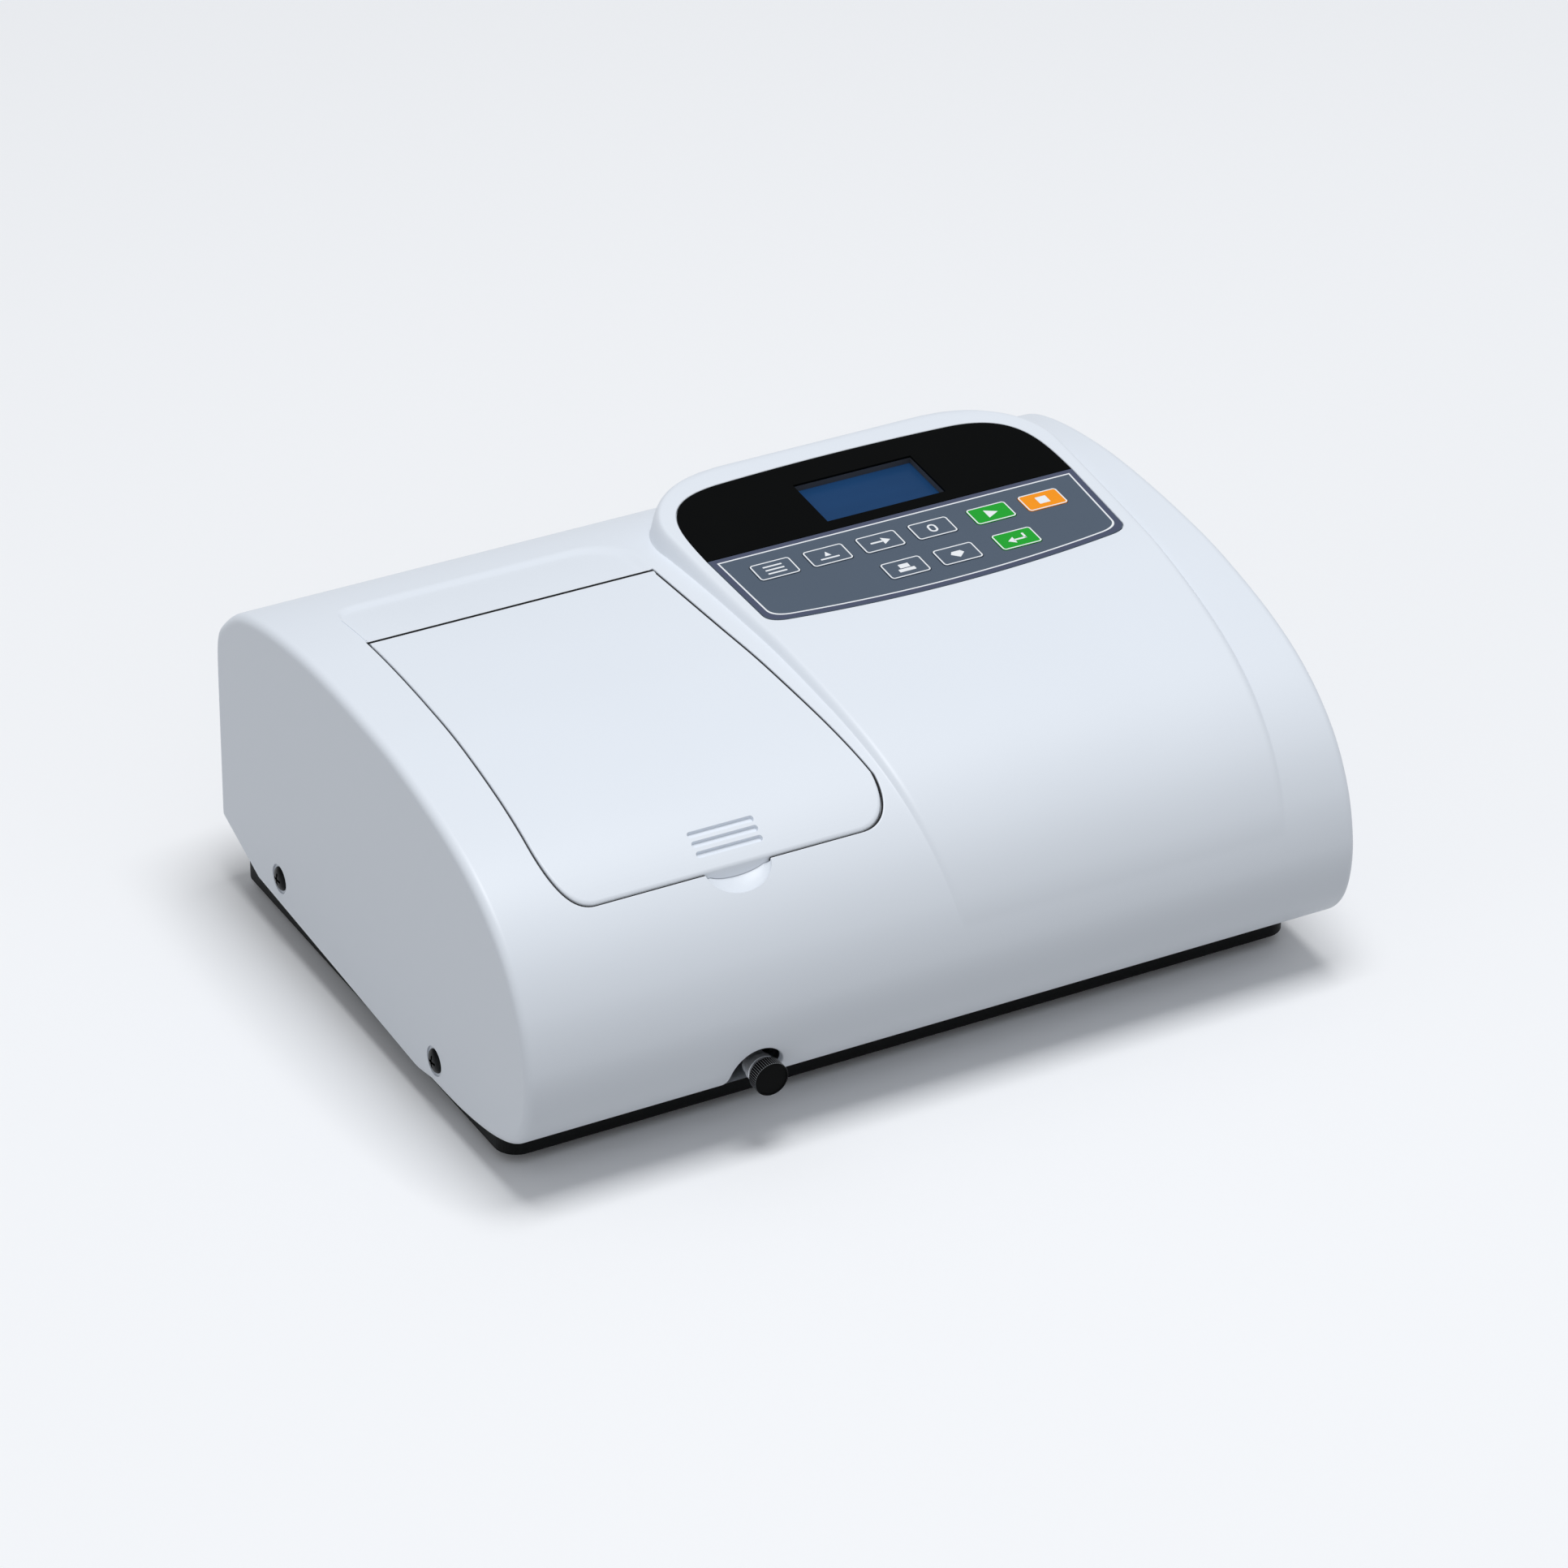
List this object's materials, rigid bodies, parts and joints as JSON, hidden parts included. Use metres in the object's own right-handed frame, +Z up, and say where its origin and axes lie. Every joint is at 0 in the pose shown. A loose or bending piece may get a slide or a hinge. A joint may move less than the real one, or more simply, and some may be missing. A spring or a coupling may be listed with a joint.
{
  "type": "uv-vis spectrophotometer",
  "caption": "Bench UV-visible spectrophotometer: moulded white cover, hinged sample lid, raised display and keypad console, pull rod cell changer, black base tray on feet",
  "frame": {"origin": "centre of the bounding box in plan, on the plane that the feet stand on", "axes": "+X to the right along the width, +Y from the front with the pull rod to the rear panel, +Z up"},
  "size_m": [0.4732, 0.3596, 0.2011],
  "materials": {
    "cover": "satin cool white moulded plastic",
    "bezel": "glossy black panel",
    "display": "dark blue liquid crystal display in a dark frame",
    "keypad": "satin blue-grey printed film",
    "key_green": "satin green",
    "key_orange": "satin orange",
    "circuit_board": "green circuit board",
    "black_paint": "satin black powder coat",
    "rubber": "matt black rubber",
    "black_steel": "black screw heads",
    "matt_black": "matt black optical coating",
    "clear_glass": "clear quartz glass",
    "steel": "ground steel",
    "chrome": "bright plated",
    "black_plastic": "satin black plastic",
    "cast_aluminium": "machined cast aluminium",
    "mirror": "front-coated optical mirror"
  },
  "bodies": {
    "instrument": {"housing": "cover", "base_tray": "black_paint", "foot_front_left": "rubber", "foot_rear_left": "rubber", "foot_front_right": "rubber", "foot_rear_right": "rubber", "lid_hinge_pin": "steel", "display_bezel": "bezel", "lcd_module": "display", "keypad_overlay": "keypad", "key_board": "circuit_board", "main_board": "circuit_board", "side_screw_left_front": "black_steel", "side_screw_left_rear": "black_steel", "side_screw_right_front": "black_steel", "side_screw_right_rear": "black_steel", "sample_compartment": "matt_black", "compartment_window_left": "clear_glass", "compartment_window_right": "clear_glass", "guide_rail": "steel", "rod_bushing": "steel", "optical_bench": "cast_aluminium", "detector_housing": "cast_aluminium", "photodiode": "steel", "monochromator_case": "matt_black", "monochromator_cover": "matt_black", "entrance_slit": "steel", "exit_slit": "steel", "collimating_mirror": "mirror", "camera_mirror": "mirror", "wavelength_motor": "steel", "filter_motor": "steel", "lamp_house": "cast_aluminium", "deuterium_lamp": "clear_glass", "tungsten_lamp": "clear_glass", "power_supply": "cast_aluminium", "fan_frame": "black_plastic", "rear_panel": "black_paint", "power_inlet": "black_plastic", "power_switch": "black_plastic"},
    "lid": {"lid": "cover"},
    "cell_slide": {"pull_rod": "steel", "rod_knob": "black_plastic", "rod_collar": "chrome", "cell_carriage": "matt_black"},
    "key_1": {"key_1": "keypad"},
    "key_2": {"key_2": "keypad"},
    "key_3": {"key_3": "keypad"},
    "key_4": {"key_4": "keypad"},
    "key_5": {"key_5": "key_green"},
    "key_6": {"key_6": "key_orange"},
    "key_7": {"key_7": "keypad"},
    "key_8": {"key_8": "keypad"},
    "key_9": {"key_9": "key_green"},
    "grating_unit": {"grating_table": "cast_aluminium", "grating": "mirror"},
    "filter_wheel": {"filter_wheel": "cast_aluminium"},
    "source_mirror": {"source_mirror": "mirror"},
    "fan_rotor": {"fan_rotor": "black_plastic"},
    "rocker": {"power_rocker": "black_plastic"}
  },
  "joints": [
    {"name": "lid_hinge", "type": "hinge", "parent": "instrument", "child": "lid", "pos_m": [0, 0.06795, 0.18513], "axis": [-1, 0, 0], "range_deg": [0, 95]},
    {"name": "cell_slide_pull", "type": "slide", "parent": "instrument", "child": "cell_slide", "axis": [0, -1, 0], "range_m": [0, 0.066]},
    {"name": "key_1_press", "type": "slide", "parent": "instrument", "child": "key_1", "axis": [0, 0.075, -0.9972], "range_m": [0, 0.0005], "stiffness_N_per_m": 400, "springref_m": -0.001},
    {"name": "key_2_press", "type": "slide", "parent": "instrument", "child": "key_2", "axis": [0, 0.075, -0.9972], "range_m": [0, 0.0005], "stiffness_N_per_m": 400, "springref_m": -0.001},
    {"name": "key_3_press", "type": "slide", "parent": "instrument", "child": "key_3", "axis": [0, 0.075, -0.9972], "range_m": [0, 0.0005], "stiffness_N_per_m": 400, "springref_m": -0.001},
    {"name": "key_4_press", "type": "slide", "parent": "instrument", "child": "key_4", "axis": [0, 0.075, -0.9972], "range_m": [0, 0.0005], "stiffness_N_per_m": 400, "springref_m": -0.001},
    {"name": "key_5_press", "type": "slide", "parent": "instrument", "child": "key_5", "axis": [0, 0.075, -0.9972], "range_m": [0, 0.0005], "stiffness_N_per_m": 400, "springref_m": -0.001},
    {"name": "key_6_press", "type": "slide", "parent": "instrument", "child": "key_6", "axis": [0, 0.075, -0.9972], "range_m": [0, 0.0005], "stiffness_N_per_m": 400, "springref_m": -0.001},
    {"name": "key_7_press", "type": "slide", "parent": "instrument", "child": "key_7", "axis": [0, 0.075, -0.9972], "range_m": [0, 0.0005], "stiffness_N_per_m": 400, "springref_m": -0.001},
    {"name": "key_8_press", "type": "slide", "parent": "instrument", "child": "key_8", "axis": [0, 0.075, -0.9972], "range_m": [0, 0.0005], "stiffness_N_per_m": 400, "springref_m": -0.001},
    {"name": "key_9_press", "type": "slide", "parent": "instrument", "child": "key_9", "axis": [0, 0.075, -0.9972], "range_m": [0, 0.0005], "stiffness_N_per_m": 400, "springref_m": -0.001},
    {"name": "grating_turn", "type": "hinge", "parent": "instrument", "child": "grating_unit", "pos_m": [0.04, 0.04635, 0.0437], "axis": [0, 0, 1], "range_deg": [-6, 40]},
    {"name": "filter_spin", "type": "hinge", "parent": "instrument", "child": "filter_wheel", "pos_m": [0.109, 0.05335, 0.0695], "axis": [1, 0, 0], "continuous": true},
    {"name": "source_mirror_swing", "type": "hinge", "parent": "instrument", "child": "source_mirror", "pos_m": [0.17558, 0.04213, 0.0494], "axis": [0, 0, -1], "range_deg": [0, 45]},
    {"name": "fan_spin", "type": "hinge", "parent": "instrument", "child": "fan_rotor", "pos_m": [0.178, 0.17125, 0.0805], "axis": [0, 1, 0], "continuous": true},
    {"name": "rocker_tip", "type": "hinge", "parent": "instrument", "child": "rocker", "pos_m": [-0.052, 0.17535, 0.0785], "axis": [0, 0, 1], "range_deg": [0, 16]}
  ]
}
